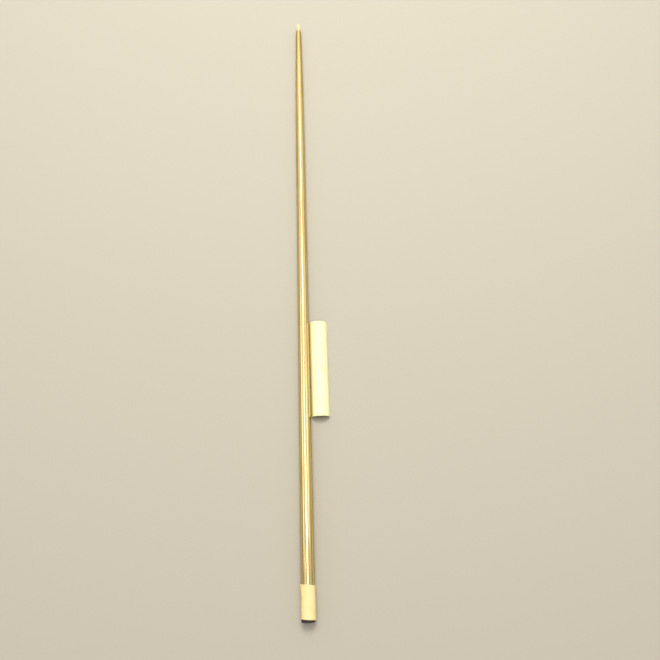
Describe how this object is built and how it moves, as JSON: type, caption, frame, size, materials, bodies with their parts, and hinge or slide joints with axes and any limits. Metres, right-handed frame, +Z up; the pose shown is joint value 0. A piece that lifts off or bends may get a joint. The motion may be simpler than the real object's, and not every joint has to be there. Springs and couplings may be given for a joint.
{
  "type": "garden dibber",
  "caption": "Stand-up garden dibber: a long polished tapered tube with a pale peg at its tip and a taped, plugged butt end, and a loose half-round white sleeve beside it.",
  "frame": {"origin": "on the floor plane, in the middle of the whole object as it lies with the loose sleeve beside it", "axes": "+Z up from the floor, +Y along the tube from the taped butt end to the tip, +X towards the loose sleeve"},
  "size_m": [0.0506, 1.0403, 0.022],
  "materials": {
    "polished_tube": "bright polished plating with a warm tint, fine lengthwise scratches and smudges",
    "ivory_peg": "satin ivory nylon, slightly scuffed",
    "black_plug": "moulded black polythene, fine texture",
    "cream_tape": "matt cream adhesive tape with fine creping and a stepped edge where it overlaps itself",
    "white_sleeve": "warm white satin extruded plastic, lightly scuffed"
  },
  "bodies": {
    "dibber": {"shaft_tube": "polished_tube", "tip_peg": "ivory_peg", "butt_plug": "black_plug", "end_wrap": "cream_tape"},
    "loose_sleeve": {"half_sleeve": "white_sleeve"}
  },
  "joints": [
    {"name": "sleeve_draw_off", "type": "slide", "parent": "dibber", "child": "loose_sleeve", "axis": [1, 0, 0], "range_m": [0, 0.15]}
  ]
}
